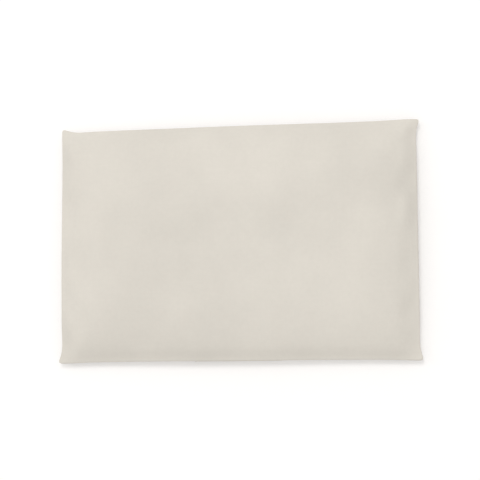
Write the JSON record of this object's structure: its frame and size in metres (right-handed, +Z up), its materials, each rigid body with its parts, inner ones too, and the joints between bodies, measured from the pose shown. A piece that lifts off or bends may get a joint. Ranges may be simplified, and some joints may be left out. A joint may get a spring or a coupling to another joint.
{
  "type": "eye pillow",
  "caption": "Small rectangular weighted eye pillow in plain natural cotton, lying flat, with an overlapping envelope back and a sewn inner pouch of seed.",
  "frame": {"origin": "middle of the flat patch on which the pillow rests, below the middle of its outline", "axes": "+X along the pillow's length, +Y across it, +Z up out of the front panel"},
  "size_m": [0.216, 0.142, 0.02],
  "materials": {
    "cover_cloth": "plain-woven natural cotton",
    "pouch_cloth": "plain unbleached muslin",
    "sewing_thread": "spun polyester thread",
    "flax_seed": "glossy whole seed",
    "lavender_bud": "dried flower bud"
  },
  "bodies": {
    "root": {"cover_front_panel": "cover_cloth", "cover_back_left_panel": "cover_cloth", "cover_back_right_panel": "cover_cloth", "cover_seam_thread": "sewing_thread", "cover_overlock_thread": "sewing_thread", "right_hem_thread": "sewing_thread", "left_hem_thread": "sewing_thread", "pouch_top_panel": "pouch_cloth", "pouch_bottom_panel": "pouch_cloth", "pouch_seam_thread": "sewing_thread", "pouch_closing_thread": "sewing_thread", "flax_seed_fill": "flax_seed", "lavender_buds": "lavender_bud"}
  },
  "joints": []
}
